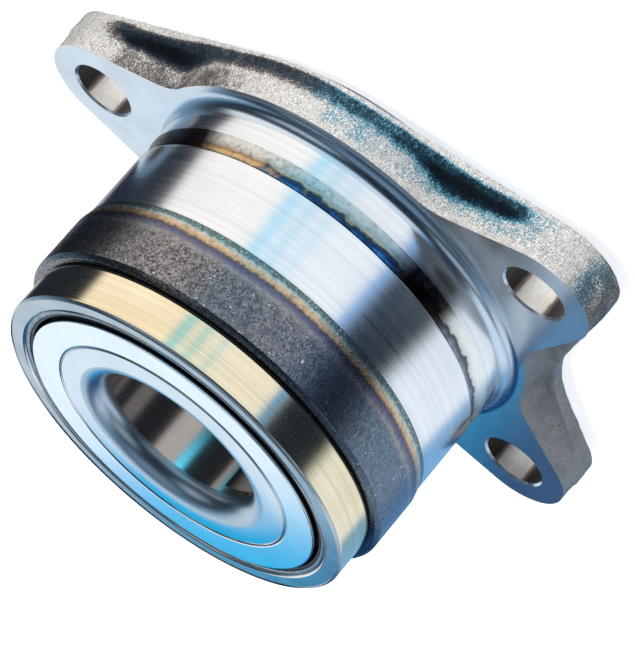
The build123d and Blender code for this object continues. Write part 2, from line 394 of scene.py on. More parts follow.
# Colours of the hardened band's oxide, and painted blue light for its side towards azimuth -25;
# along its rear edge the heat colours replace them
OXIDE_DARK, OXIDE_GRAIN = (0.055, 0.052, 0.060), (0.40, 0.37, 0.36)
OXIDE_PITS, OXIDE_PATCH = (0.035, 0.038, 0.050), (0.11, 0.12, 0.15)
OXIDE_PAINTED_BLUE_LIGHT, OXIDE_SPARK = (0.10, 0.17, 0.26), (0.85, 0.88, 0.92)
HEAT_GREEN, HEAT_PITS = (0.38, 0.55, 0.56), (0.06, 0.06, 0.07)
HEAT_COLOURS = (
    (0.00, (0.090, 0.135, 0.140)),
    (0.17, (0.120, 0.185, 0.190)),
    (0.24, (0.420, 0.520, 0.530)),
    (0.31, (0.660, 0.500, 0.340)),
    (0.44, (0.560, 0.400, 0.260)),
    (0.52, (0.130, 0.095, 0.090)),
    (0.60, (0.110, 0.120, 0.210)),
    (0.70, (0.180, 0.180, 0.240)),
    (0.80, (0.330, 0.310, 0.310)),
    (1.00, (0.240, 0.225, 0.220)),
)


def hardened_finish(name, rear):
    """Oxide of the hardened band with painted blue light on one side, and the heat colours along
    its rear edge.
    """
    finish = Finish(name)
    grain = finish.noise(3000.0, 3.0, 0.6)
    coarse = finish.noise(1100.0, 3.0, 0.6)
    patch = finish.noise(75.0, 3.0)
    speck = finish.noise(2100.0, 1.0)
    cluster = finish.noise(260.0, 2.0)
    # Painted blue light: the oxide turns bluer on the side towards azimuth -25.
    oxide_blue_light = finish.times(finish.span(finish.side(-25), -0.2, 0.9, smooth=True), 0.55)
    sparks = finish.times(finish.span(speck, 0.70, 0.76), finish.span(cluster, 0.45, 0.6))
    tint = finish.over(
        OXIDE_DARK,
        (grain, 0.36, 0.66, 1.0, OXIDE_GRAIN),
        (coarse, 0.46, 0.68, 0.7, OXIDE_PITS),
        (patch, 0.4, 0.7, 0.4, OXIDE_PATCH),
    )
    tint = finish.mix(oxide_blue_light, tint, OXIDE_PAINTED_BLUE_LIGHT)
    tint = finish.mix(sparks, tint, OXIDE_SPARK)

    drift = finish.noise(90.0, 2.0)
    ragged = finish.noise(1300.0, 3.0, 0.6)
    moved = finish.add(finish.height(), finish.swing(drift, -0.15, 0.15))
    moved = finish.add(moved, finish.swing(ragged, -0.22, 0.22))
    place = finish.span(moved, rear, rear + HEAT_WIDTH)
    green = finish.times(finish.span(grain, 0.5, 0.7), finish.span(place, 0.26, 0.16))
    heat = finish.mix(green, finish.ramp(place, HEAT_COLOURS), HEAT_GREEN)
    heat = finish.over(heat, (coarse, 0.46, 0.7, 0.45, HEAT_PITS))
    return finish.set(
        Base_Color=finish.mix(finish.span(place, 1.0, 0.72, smooth=True), tint, heat),
        Metallic=1.0,
        Roughness=finish.swing(grain, 0.36, 0.22),
        Normal=finish.bump(grain, 0.024, finish.bump(coarse, 0.03)),
    )


# Colours across the groove from its rear wall to its front wall: most of the way round, where
# the heat has turned it blue under painted blue glints, and on a side of painted light
GROOVE_WARM = (
    (0.30, (0.640, 0.620, 0.580)),
    (0.46, (0.480, 0.430, 0.360)),
    (0.58, (0.300, 0.200, 0.120)),
    (0.68, (0.640, 0.400, 0.160)),
    (0.80, (0.600, 0.440, 0.260)),
    (0.90, (0.060, 0.040, 0.045)),
)
GROOVE_BLUE_AND_GLINTS = (
    (0.25, (0.460, 0.560, 0.580)),
    (0.42, (0.240, 0.400, 0.440)),
    (0.53, (0.400, 0.420, 0.320)),
    (0.62, (0.030, 0.070, 0.110)),
    (0.78, (0.012, 0.050, 0.150)),
    (0.95, (0.030, 0.300, 0.720)),
)
GROOVE_LIT_SIDE = (
    (0.30, (0.820, 0.820, 0.780)),
    (0.52, (0.600, 0.610, 0.600)),
    (0.62, (0.090, 0.070, 0.060)),
    (0.72, (0.140, 0.150, 0.190)),
    (0.95, (0.330, 0.400, 0.480)),
)
# The second colour is painted shade, laid over the groove all round but for two lit sides.
GROOVE_FLECKS, GROOVE_PAINTED_SHADE = (0.04, 0.04, 0.05), (0.045, 0.035, 0.045)


def groove_finish(name, rear, width):
    """Turned groove: bright steel discoloured by heat towards its front wall, and painted shade
    round it but for two sides of painted light.
    """
    finish = Finish(name)
    lines = finish.noise(1.0, 2.0, where=finish.stretched(6.0, 0.05))
    patch = finish.noise(1.0, 3.0, 0.55, where=finish.stretched(0.12, 0.16))
    edge = finish.noise(420.0, 4.0, 0.6)
    fleck = finish.noise(1200.0, 3.0, 0.6)
    place = finish.span(finish.height(), rear, rear + width)
    place = finish.add(place, finish.swing(patch, -0.08, 0.10))
    place = finish.add(place, finish.swing(edge, -0.09, 0.09))
    # Painted blue glints: the blue colours lie on the side towards azimuth 60.
    blue_lit_side = finish.add(finish.side(60), finish.swing(edge, -0.05, 0.05))
    tint = finish.mix(
        finish.span(blue_lit_side, 0.88, 0.95),
        finish.ramp(place, GROOVE_WARM),
        finish.ramp(place, GROOVE_BLUE_AND_GLINTS),
    )
    tint = finish.over(tint, (fleck, 0.5, 0.72, 0.5, GROOVE_FLECKS))
    # Painted shade darkens the groove all round, but for painted light on the sides towards
    # azimuths 74 and -18.
    groove_shade = finish.mix(1.0, tint, GROOVE_PAINTED_SHADE, "MULTIPLY")
    ragged = finish.swing(edge, -0.08, 0.08)
    first_lit_side = finish.add(finish.span(finish.side(74), 0.80, 0.88), ragged)
    second_lit_side = finish.add(finish.span(finish.side(-18), 0.74, 0.80), ragged)
    tint = finish.mix(first_lit_side, groove_shade, tint)
    return finish.set(
        Base_Color=finish.mix(second_lit_side, tint, finish.ramp(place, GROOVE_LIT_SIDE)),
        Metallic=1.0,
        Roughness=finish.swing(lines, 0.2, 0.34),
        Normal=finish.bump(lines, 0.012),
    )


# Colours of the forged skin: bright grains, the grey waist, and painted shade that gets deeper
FORGED_GRAINS = (
    (0.34, (0.330, 0.312, 0.298)),
    (0.50, (0.500, 0.475, 0.450)),
    (0.66, (0.800, 0.772, 0.735)),
)
FORGED_PITS, FORGED_PATCH = (0.18, 0.18, 0.18), (0.30, 0.31, 0.32)
WAIST_DARK, WAIST_PALE = (0.11, 0.125, 0.14), (0.21, 0.23, 0.25)
# Painted shade, from thin to deep and black; the blue ones are painted blue light on one side.
THIN_PAINTED_SHADE, THIN_PAINTED_SHADE_BLUE = (0.26, 0.235, 0.22), (0.26, 0.62, 0.84)
DEEP_PAINTED_SHADE, DEEP_PAINTED_SHADE_BLUE = (0.014, 0.026, 0.042), (0.006, 0.036, 0.062)
PAINTED_SHADE_FLECK, PAINTED_SHADE_FLECK_BLUE = (0.10, 0.12, 0.15), (0.12, 0.42, 0.60)
BLACK_PAINTED_SHADE = (0.002, 0.004, 0.007)


def forged_finish(name):
    """Shot-cleaned forging: bright grains on the crowns, blue-black painted shade in the valley,
    and painted blue light on one side.
    """
    finish = Finish(name)
    grain = finish.noise(4300.0, 3.0, 0.65)
    coarse = finish.noise(1500.0, 3.0, 0.6)
    patch = finish.noise(95.0, 3.0)
    streaks = finish.noise(360.0, 4.0, 0.65)
    tint = finish.over(
        finish.ramp(grain, FORGED_GRAINS),
        (coarse, 0.5, 0.72, 0.6, FORGED_PITS),
        (patch, 0.45, 0.7, 0.25, FORGED_PATCH),
    )
    waist = finish.span(finish.side(-30), 0.60, 0.78, 0.0, 0.92, smooth=True)
    tint = finish.mix(waist, tint, finish.mix(finish.swing(streaks), WAIST_DARK, WAIST_PALE))

    # Painted shade: the mesh value sets how deep it lies, from a thin tint to blue-black and black.
    depth = finish.add(finish.attribute("painted_shade"), finish.swing(streaks, -0.20, 0.20))
    depth = finish.add(depth, finish.span(grain, 0.32, 0.68, 0.26, -0.26))
    # Painted blue light: the side towards azimuth 54 turns blue.
    blue_lit_side = finish.span(finish.side(54), 0.78, 0.93, smooth=True)
    # The thin painted shade, brownish, or blue on the blue-lit side.
    thin = finish.mix(1.0, tint, finish.mix(blue_lit_side, THIN_PAINTED_SHADE, THIN_PAINTED_SHADE_BLUE), "MULTIPLY")
    # Lighter flecks broken into the deep painted shade.
    shade_flecks = finish.times(finish.span(coarse, 0.52, 0.66), finish.span(streaks, 0.45, 0.6, 0.0, 0.7))
    deep = finish.mix(blue_lit_side, DEEP_PAINTED_SHADE, DEEP_PAINTED_SHADE_BLUE)
    deep = finish.mix(shade_flecks, deep, finish.mix(blue_lit_side, PAINTED_SHADE_FLECK, PAINTED_SHADE_FLECK_BLUE))
    return finish.set(
        Base_Color=finish.over(
            tint,
            (depth, 0.16, 0.40, 1.0, thin),
            (depth, 0.46, 0.72, 1.0, deep),
            (depth, 0.80, 1.06, 1.0, BLACK_PAINTED_SHADE),
        ),
        Metallic=0.5,
        Roughness=finish.swing(grain, 0.58, 0.42),
        Normal=finish.bump(grain, 0.035, finish.bump(coarse, 0.05)),
    )


# The drilled wall is bright where the light reaches; the last two colours are painted shade on the
# sides away from it.
DRILLED_BRIGHT, DRILLED_MARKS = (1.0, 0.94, 0.87), (0.80, 0.73, 0.66)
DRILLED_HALF_SHADE, DRILLED_FULL_SHADE = (0.30, 0.24, 0.20), (0.050, 0.046, 0.046)


def drilled_finish(name):
    """Drilled wall with the drill's marks round it, and painted shade where the mesh value for it
    is high.
    """
    finish = Finish(name)
    marks = finish.noise(1.0, 3.0, 0.6, where=finish.stretched(0.6, 7.0))
    # Painted shade on the wall: the mesh value from the holes' light side, broken up by the marks.
    wall_shade = finish.add(finish.attribute("painted_shade"), finish.swing(marks, -0.12, 0.12))
    tint = finish.over(
        DRILLED_BRIGHT,
        (marks, 0.35, 0.65, 1.0, DRILLED_MARKS),
        (wall_shade, 0.12, 0.42, 1.0, DRILLED_HALF_SHADE),
        (wall_shade, 0.40, 0.90, 1.0, DRILLED_FULL_SHADE),
    )
    return finish.set(
        Base_Color=tint, Metallic=0.55, Roughness=0.42, Normal=finish.bump(marks, 0.01)
    )


GROUND_NOSE = ground_steel(
    "ground nose", (0.88, 0.77, 0.56), (0.60, 0.47, 0.28), 0.14, 0.003, 0.5, 14.0, 0.6
)
POLISHED_LAND = ground_steel(
    "polished land", (0.84, 0.84, 0.85), (0.58, 0.60, 0.63), 0.19, 0.0015, 0.5, 9.0, 0.4
)
FILLET = ground_steel("polished fillet", (0.62, 0.70, 0.78), (0.40, 0.48, 0.56), 0.25, 0.0008, 0.2)
# The undercut is near black: painted shade in the small recess between the nose band and the
# hardened band.
UNDERCUT_PAINTED_SHADE = plain_finish("undercut_painted_shade", (0.02, 0.02, 0.022), 0.6, 0.5)
HARDENED = hardened_finish("hardened oxide", HARDENED_REAR)
GROOVE = groove_finish("stained groove", GROOVE_REAR, GROOVE_WIDTH)
FACED = faced_finish("faced flange", (0.62, 0.68, 0.74), 0.19, 5.0, 0.0008, 0.93, 0.10)
NOSE_FACE = faced_finish("faced nose", (0.46, 0.52, 0.58), 0.17, 5.0, 0.0012, 1.0, 0.2)
FORGED = forged_finish("forged skin")
HOLE = drilled_finish("drilled hole")
EASED = ground_steel("broken edge", (0.62, 0.64, 0.66), (0.5, 0.52, 0.55), 0.3, 0.004)
RING_FACE = faced_finish("ground ring face", (0.69, 0.78, 0.85), 0.12, 7.0, 0.0003)
RING_MOUTH = faced_finish("polished bore mouth", (0.52, 0.60, 0.68), 0.31, 7.0, 0.0001)
RING_BORE = ground_steel("ground bore", (0.86, 0.82, 0.80), (0.70, 0.67, 0.66), 0.16, 0.002, 0.3)
DISC = faced_finish("satin disc", (0.86, 0.93, 0.98), 0.12, 4.0, 0.0003)
CASE = plain_finish("zinc case", (0.34, 0.39, 0.44), 1.0, 0.38, 700.0)
RUBBER = plain_finish("seal rubber", (0.012, 0.014, 0.02), 0.0, 0.5, 900.0)
SPRING = plain_finish("spring steel", (0.34, 0.33, 0.32), 1.0, 0.34)
CAGE = plain_finish("cage polymer", (0.10, 0.16, 0.09), 0.0, 0.5)
BALL = plain_finish("ball steel", (0.78, 0.79, 0.80), 1.0, 0.06, 60.0, 0.0, 0.05)


# ---------------------------------------------------------------- turned pieces
TURN_STEPS = 480
TURN_SHARP = 32
FILLET_STEPS = 20
MOUTH_STEPS = 16


def new_object(name, data):
    """An object in the scene, at the origin."""
    made = bpy.data.objects.new(name, data)
    STUDIO.objects.link(made)
    return made


def mesh_piece(name, places, polygons, finishes, slots, angle):
    """An object from points in millimetres, smooth but for edges sharper than an angle."""
    mesh = bpy.data.meshes.new(name)
    mesh.from_pydata((places * METRES).tolist(), [], polygons)
    for finish in finishes:
        mesh.materials.append(finish)
    mesh.polygons.foreach_set("material_index", np.array(slots, dtype=np.int32))
    mesh.shade_smooth()
    mesh.set_sharp_from_angle(angle=radians(angle))
    mesh.update()
    return new_object(name, mesh)


def stand_for(made, body, slot, *nodes):
    """Let a piece ride with its body and take the place of CAD nodes."""
    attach(made, body)
    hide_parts(*nodes)


def arc(centre, radius, start, end, steps, finish):
    """Points on an arc in the half plane of radius and height; angles from the radial way."""
    angles = [radians(start + (end - start) * step / steps) for step in range(steps + 1)]
    return [(centre[0] + radius * cos(a), centre[1] + radius * sin(a), finish) for a in angles]


def turned(name, profile):
    """A closed ring turned from a profile of (radius, height, finish of the line that follows)."""
    radius, height, line_finishes = zip(*profile)
    radius, height = np.array(radius), np.array(height)
    finishes = list(dict.fromkeys(line_finishes))
    count = len(profile)
    turn = np.arange(TURN_STEPS) * 2 * pi / TURN_STEPS
    places = np.empty((TURN_STEPS, count, 3))
    places[..., 0] = np.cos(turn)[:, None] * radius
    places[..., 1] = np.sin(turn)[:, None] * radius
    places[..., 2] = height
    here = np.arange(TURN_STEPS)[:, None] * count
    there = np.roll(here, -1, axis=0)
    first = np.arange(count)
    second = np.roll(first, -1)
    quads = np.stack([here + first, there + first, there + second, here + second], -1)
    area = np.sum(radius * np.roll(height, -1) - np.roll(radius, -1) * height)
    if area > 0:
        quads = quads[..., ::-1]
    slots = np.tile([finishes.index(finish) for finish in line_finishes], TURN_STEPS)
    polygons = quads.reshape(-1, 4).tolist()
    return mesh_piece(name, places.reshape(-1, 3), polygons, finishes, slots, TURN_SHARP)


def eased(profile, ease=EDGE_BREAK):
    """Break the sharp corners of a profile, and set points beside them that keep straights flat."""
    out = []
    for index, (radius, height, finish) in enumerate(profile):
        last_finish = profile[index - 1][2]
        here = np.array((radius, height))
        came = here - np.array(profile[index - 1][:2])
        goes = np.array(profile[(index + 1) % len(profile)][:2]) - here
        came_length, goes_length = np.linalg.norm(came), np.linalg.norm(goes)
        room = min(came_length, goes_length)
        if room < NO_LENGTH:
            continue
        came, goes = came / came_length, goes / goes_length
        cut = min(ease, room * MOST_CUT)
        if np.dot(came, goes) > cos(radians(CORNER_ANGLE)) or cut < LEAST_CUT:
            out.append((radius, height, finish))
            continue
        start, end = here - came * cut, here + goes * cut
        middle = here * 0.5 + (start + end) * 0.25
        if came_length > FLAT_FROM:
            out.append((*(start - came * FLAT_STEP), last_finish))
        out += [(*start, last_finish), (*middle, finish), (*end, finish)]
        if goes_length > FLAT_FROM:
            out.append((*(end + goes * FLAT_STEP), finish))
    return out


def raceway(row, centre_radius, side, edge_radius, edge_towards):
    """Points of a raceway from its bottom to the radius where it runs out; side is 1 or -1."""
    out = edge_radius - centre_radius
    reach = edge_towards * sqrt(RACE_RADIUS**2 - out**2)
    end = np.degrees(np.arctan2(reach, out))
    bottom = 0.0 if side > 0 else (-180.0 if end < 0 else 180.0)
    return arc((centre_radius, row), RACE_RADIUS, bottom, end, RACE_STEPS, RING_BORE)


def outer_half(row, towards, end):
    """Bore of the outer ring from one end to the rib: seal seat, step and raceway."""
    seat = end - towards * (CASE_INSET + CASE_LENGTH)
    centre = PITCH_RADIUS - RACE_DROP
    points = [
        (SEAL_BORE_RADIUS + SEAT_CHAMFER, end, EASED),
        (SEAL_BORE_RADIUS, end - towards * SEAT_CHAMFER, RING_BORE),
        (SEAL_BORE_RADIUS, seat, RING_BORE),
        (centre + RACE_RADIUS, seat, RING_BORE),
    ]
    return points + raceway(row + towards * RACE_LEAN, centre, 1, RIB_RADIUS, -towards)


def body_profile():
    """Section of the turned ring: the outside from nose to flange, the spigot, then the bore."""
    outside = [
        (NOSE_RADIUS - NOSE_CHAMFER, NOSE_END, EASED),
        (NOSE_RADIUS, NOSE_END - NOSE_CHAMFER, GROUND_NOSE),
        (NOSE_RADIUS, NOSE_END - NOSE_BAND, UNDERCUT_PAINTED_SHADE),
        (NOSE_RADIUS - UNDERCUT_DEPTH, NOSE_END - NOSE_BAND, UNDERCUT_PAINTED_SHADE),
        (NOSE_RADIUS - UNDERCUT_DEPTH, HARDENED_FRONT, HARDENED),
        (HARDENED_RADIUS - HARDENED_EDGE, HARDENED_FRONT, HARDENED),
        (HARDENED_RADIUS, HARDENED_FRONT - HARDENED_EDGE, HARDENED),
        (HARDENED_RADIUS, HARDENED_REAR + HARDENED_TAPER, HARDENED),
        (LAND_RADIUS, HARDENED_REAR, POLISHED_LAND),
        (LAND_RADIUS, GROOVE_FRONT, GROOVE),
        (LAND_RADIUS - GROOVE_DEPTH, GROOVE_FRONT - GROOVE_WALL, GROOVE),
        (LAND_RADIUS, GROOVE_REAR, POLISHED_LAND),
        (LAND_RADIUS, FILLET_TOP, POLISHED_LAND),
    ]
    fillet = arc((FILLET_FOOT, FILLET_TOP), ROOT_FILLET, 180, 270, FILLET_STEPS, FILLET)
    hidden = [
        (FILLET_FOOT, FLANGE_THICKNESS - FLANGE_OVERLAP, FACED),
        (SPIGOT_RADIUS, SPIGOT_HIDE, FACED),
        (SPIGOT_RADIUS, TAIL_END + SPIGOT_CHAMFER, EASED),
        (SPIGOT_RADIUS - SPIGOT_CHAMFER, TAIL_END, NOSE_FACE),
    ]
    rear = outer_half(REAR_ROW, -1, TAIL_END)
    front = outer_half(FRONT_ROW, 1, NOSE_END)[::-1]
    front[-1] = (*front[-1][:2], NOSE_FACE)
    return eased(outside) + fillet + eased(hidden + rear + front)


def inner_ring_profile(row, towards, face):
    """Section of an inner ring: bore with a rounded mouth, face, shoulder and raceway."""
    centre = PITCH_RADIUS + RACE_DROP
    hook_start = PARTING + towards * (CLIP_HALF_LENGTH - CLIP_HOOK_LENGTH - CLIP_PLAY)
    hook_end = PARTING + towards * (CLIP_HALF_LENGTH + CLIP_PLAY)
    recess = CLIP_RADIUS + CLIP_WALL + CLIP_PLAY
    mouth_centre = (BORE_RADIUS + BORE_ROUNDING, face - towards * BORE_ROUNDING)
    mouth = arc(mouth_centre, BORE_ROUNDING, 180, 180 - towards * 90, MOUTH_STEPS, RING_MOUTH)
    mouth[-1] = (*mouth[-1][:2], RING_FACE)
    race = raceway(row - towards * RACE_LEAN, centre, -1, SHOULDER_RADIUS, towards)
    rest = [
        (SHOULDER_RADIUS - SHOULDER_EDGE, face, EASED),
        (SHOULDER_RADIUS, face - towards * SHOULDER_EDGE, RING_BORE),
        *race[::-1],
        (centre - RACE_RADIUS, PARTING, RING_BORE),
        (recess, PARTING, RING_BORE),
        (recess, hook_start, RING_BORE),
        (recess + CLIP_HOOK, hook_start, RING_BORE),
        (recess + CLIP_HOOK, hook_end, RING_BORE),
        (BORE_RADIUS, hook_end, RING_BORE),
    ]
    return mouth + eased(rest, RING_EDGE)


def clip_profile():
    """Section of the clip: a thin sleeve with a hook outwards at each end."""
    sleeve = CLIP_RADIUS + CLIP_WALL
    top, bottom = PARTING + CLIP_HALF_LENGTH, PARTING - CLIP_HALF_LENGTH
    corners = [
        (CLIP_RADIUS, top),
        (sleeve + CLIP_HOOK, top),
        (sleeve + CLIP_HOOK, top - CLIP_HOOK_LENGTH),
        (sleeve, top - CLIP_HOOK_LENGTH),
        (sleeve, bottom + CLIP_HOOK_LENGTH),
        (sleeve + CLIP_HOOK, bottom + CLIP_HOOK_LENGTH),
        (sleeve + CLIP_HOOK, bottom),
        (CLIP_RADIUS, bottom),
    ]
    return eased([(*corner, SPRING) for corner in corners], CLIP_EDGE)


def slinger_profile(towards, face):
    """Section of the slinger: a sleeve on the ring's shoulder and the disc that shows."""
    front = face - towards * SLINGER_INSET
    back = front - towards * SLINGER_WALL
    tip = front - towards * SLINGER_LENGTH
    sleeve = SHOULDER_RADIUS + SLINGER_WALL
    return eased([
        (SHOULDER_RADIUS, front, DISC),
        (SLINGER_RADIUS, front, DISC),
        (SLINGER_RADIUS, back, CASE),
        (sleeve, back, CASE),
        (sleeve, tip, CASE),
        (SHOULDER_RADIUS, tip, CASE),
    ], SLINGER_EDGE)


def case_profile(towards, end):
    """Section of the pressed case."""
    rim = end - towards * CASE_INSET
    floor = rim - towards * CASE_LENGTH
    inside = SEAL_BORE_RADIUS - CASE_WALL
    return eased([
        (SEAL_BORE_RADIUS, rim, CASE),
        (inside, rim, CASE),
        (inside, floor + towards * CASE_WALL, CASE),
        (CASE_OPENING, floor + towards * CASE_WALL, CASE),
        (CASE_OPENING, floor, CASE),
        (SEAL_BORE_RADIUS, floor, CASE),
    ], CASE_EDGE)


def rubber_profile(towards, end, face):
    """Section of the rubber: skirt, lip on the sleeve and lip on the disc."""
    rim = end - towards * CASE_INSET
    case_floor = rim - towards * CASE_LENGTH
    floor = case_floor + towards * CASE_WALL
    base = floor + towards * RUBBER_BASE
    inside = SEAL_BORE_RADIUS - CASE_WALL
    skirt_inside = inside - RUBBER_SKIRT
    skirt_end = rim - towards * SKIRT_INSET
    heel = CASE_OPENING - RUBBER_BASE
    sleeve_tip = SHOULDER_RADIUS + SLINGER_WALL + LIP_PLAY
    disc_tip = face - towards * (SLINGER_INSET + SLINGER_WALL + LIP_PLAY)
    root = (heel + skirt_inside) / 2
    corners = [
        (inside, skirt_end),
        (inside, floor),
        (CASE_OPENING, floor),
        (CASE_OPENING, case_floor),
        (heel, case_floor),
        (sleeve_tip, (case_floor + floor) / 2),
        (sleeve_tip, floor),
        (heel, base),
        (root - LIP_THICKNESS, base),
        (root + LIP_LEAN - LIP_THICKNESS / 2, disc_tip),
        (root + LIP_LEAN, disc_tip),
        (root + LIP_THICKNESS / 2, base),
        (skirt_inside, base),
        (skirt_inside, skirt_end),
    ]
    return eased([(*corner, RUBBER) for corner in corners], RUBBER_EDGE)


stand_for(turned("turned_ring", body_profile()), "outer_ring", "ground_ring", "outer_ring")
for end_name, row, towards, outer_end, face in (
    ("front", FRONT_ROW, 1, NOSE_END, INNER_FRONT),
    ("rear", REAR_ROW, -1, TAIL_END, INNER_REAR),
):
    ring = turned(f"{end_name}_inner_race", inner_ring_profile(row, towards, face))
    stand_for(ring, "inner_rings", "ground_ring", f"{end_name}_inner_ring")
    slinger = turned(f"{end_name}_slinger_disc", slinger_profile(towards, face))
    stand_for(slinger, "inner_rings", "slinger_steel", f"{end_name}_slinger")
    case = turned(f"{end_name}_pressed_case", case_profile(towards, outer_end))
    stand_for(case, "outer_ring", "case_steel", f"{end_name}_seal_case")
    rubber = turned(f"{end_name}_rubber_lips", rubber_profile(towards, outer_end, face))
    stand_for(rubber, "outer_ring", "seal_rubber", f"{end_name}_seal_rubber")
stand_for(turned("ring_clip", clip_profile()), "inner_rings", "spring_steel", "inner_ring_clip")


# ---------------------------------------------------------------- flange outlines
FLANGE_STEPS = 1440
HULL_STEPS = 160
FAR_OUT = 1e9
TURN = np.arange(FLANGE_STEPS) * 2 * pi / FLANGE_STEPS
AROUND = np.stack([np.cos(TURN), np.sin(TURN)], -1)


def bolt_places(angle):
    """The pair of bolt holes at an angle above the X axis, mirrored in the YZ plane."""
    x, y = BOLT_CIRCLE * cos(radians(angle)), BOLT_CIRCLE * sin(radians(angle))
    return [(x, y), (-x, y)]


def reach_of_circle(centre, radius):
    """How far a circle reaches from the axis in each direction; -1 where it isn't met."""
    along = AROUND @ np.array(centre)
    across = AROUND @ np.array((-centre[1], centre[0]))
    inside = radius**2 - across**2
    return np.where(inside > 0, along + np.sqrt(np.maximum(inside, 0)), -1)


def reach_of_lugs(holes, radius, root):
    """Reach of lugs: hulls of the circles round the holes and a root circle round the axis."""
    steps = [
        reach_of_circle((x * t, y * t), root + (radius - root) * t)
        for x, y in holes
        for t in np.linspace(0, 1, HULL_STEPS)
    ]
    return np.max(steps, axis=0)


def grown(reach, amount):
    """Outline moved outwards by an amount, or inwards where it is negative."""
    if abs(amount) < 1e-9:
        return reach
    edge = AROUND * reach[:, None]
    result = np.empty(FLANGE_STEPS)
    for index, way in enumerate(AROUND):
        along = edge @ way
        across = edge @ np.array((-way[1], way[0]))
        room = np.sqrt(np.maximum(amount**2 - across**2, 0))
        near = (np.abs(across) < abs(amount)) & (along > 0)
        if amount > 0:
            result[index] = max(reach[index], np.max(np.where(near, along + room, 0)))
        else:
            result[index] = min(reach[index], np.min(np.where(near, along - room, FAR_OUT)))
    return result


def blended(reach, radius):
    """Outline with its hollow corners rounded."""
    return grown(grown(reach, radius), -radius)


UPPER_HOLES = bolt_places(UPPER_HOLE_ANGLE)
LOWER_HOLES = bolt_places(LOWER_HOLE_ANGLE)
BOLT_HOLES = UPPER_HOLES + LOWER_HOLES

FACE_REACH = blended(np.max([
    np.full(FLANGE_STEPS, COLLAR_RADIUS),
    reach_of_lugs(UPPER_HOLES, UPPER_LUG_RADIUS, LUG_ROOT_RADIUS),
    reach_of_lugs(LOWER_HOLES, LOWER_LUG_RADIUS, LUG_ROOT_RADIUS),
], axis=0), LUG_BLEND)
RIM_REACH = blended(np.max([
    reach_of_lugs(UPPER_HOLES, UPPER_LUG_RADIUS + FORGING_DRAFT, RIM_BELLY_RADIUS),
    reach_of_lugs(LOWER_HOLES, LOWER_LUG_RADIUS + FORGING_DRAFT, RIM_ROOT_RADIUS),
], axis=0), RIM_BLEND)


# ---------------------------------------------------------------- flange
SKIN_STEPS = 44
WALL_STEPS = 8
VALLEY_TURNS = np.radians(np.linspace(8, 82, 10))
RUN_OUT = np.linspace(0.3, 1, 5)
VALLEY_TOP = RIM_THICKNESS + VALLEY_RADIUS
HUB_INSIDE = FILLET_FOOT - 0.6
HUB_STEPS = 180
HOLE_STEPS = 72
FORGED_SLOT, FACED_SLOT, HOLE_SLOT = range(3)
FLANGE_SHARP = 40

# Walls of the bolt holes: azimuth of the side that the light reaches, half its width, run to dark
HOLE_LIGHT = 244
HOLE_LIT_HALF = 20
HOLE_DUSK = 22


def flank_levels():
    """Growth and height down the forged flank, over the valley and on towards the rim."""
    wall = [(0.0, height) for height in np.linspace(FLANGE_THICKNESS, VALLEY_TOP, WALL_STEPS)]
    valley = [
        (VALLEY_RADIUS * (1 - cos(t)), VALLEY_TOP - VALLEY_RADIUS * sin(t)) for t in VALLEY_TURNS
    ]
    run = [
        (VALLEY_RADIUS + VALLEY_RUN * share, RIM_THICKNESS - RIM_EDGE * share) for share in RUN_OUT
    ]
    return [
        (FORGING_DRAFT * (1 - height / FLANGE_THICKNESS) + out, height)
        for out, height in wall + valley + run
    ]


def rounded_edge(radius, height, steps=6):
    """Inset and height over a rounded edge whose top lies at a height."""
    turns = np.radians(np.linspace(90, 0, steps))
    return [(radius * (1 - cos(t)), height - radius * (1 - sin(t))) for t in turns]


def reach_table(reach, levels):
    """Distance from the axis at each level, one row for each direction, and the levels' heights."""
    distances = np.stack([grown(reach, growth) for growth, height in levels], -1)
    return distances, np.array([height for growth, height in levels])


def flank_grid():
    """Distance from the axis and height on the flank: one row for each direction."""
    edge = [(-inset, height) for inset, height in rounded_edge(RIM_EDGE, RIM_THICKNESS)]
    back = [
        (inset - RIM_BACK_EDGE, RIM_BACK_EDGE - height)
        for inset, height in rounded_edge(RIM_BACK_EDGE, RIM_BACK_EDGE)
    ]
    flare_reach, flare_z = reach_table(FACE_REACH, flank_levels())
    edge_reach, edge_z = reach_table(RIM_REACH, edge)
    back_reach, back_z = reach_table(RIM_REACH, back)
    grid = np.empty((FLANGE_STEPS, SKIN_STEPS, 2))
    for step in range(FLANGE_STEPS):
        limit = RIM_REACH[step] - 1e-3
        flare_r = np.maximum.accumulate(flare_reach[step] + np.arange(len(flare_z)) * 1e-5)
        edge_r = edge_reach[step]
        spots = np.unique(np.clip(np.concatenate([flare_r, edge_r]), flare_r[0], limit))
        over_flare = np.interp(spots, flare_r, flare_z, right=-1)
        over_rim = np.interp(spots, np.r_[0, edge_r], np.r_[RIM_THICKNESS, edge_z])
        line = np.concatenate([
            np.stack([spots, np.maximum(over_flare, over_rim)], -1),
            np.stack([back_reach[step], back_z], -1),
        ])
        length = np.r_[0, np.cumsum(np.linalg.norm(np.diff(line, axis=0), axis=1))]
        even = np.linspace(0, length[-1], SKIN_STEPS)
        grid[step, :, 0] = np.interp(even, length, line[:, 0])
        grid[step, :, 1] = np.interp(even, length, line[:, 1])
    return grid


def smooth_step(value):
    value = np.clip(value, 0, 1)
    return value * value * (3 - 2 * value)


def rise(value, start, run):
    """From 0 at the start up to 1 a run later."""
    return smooth_step((value - start) / run)


def fall(value, end, run):
    """From 1 down to 0 at the end, over a run before it."""
    return smooth_step((end - value) / run)


def hill(value, middle, spread):
    return np.exp(-((value - middle) / spread) ** 2)


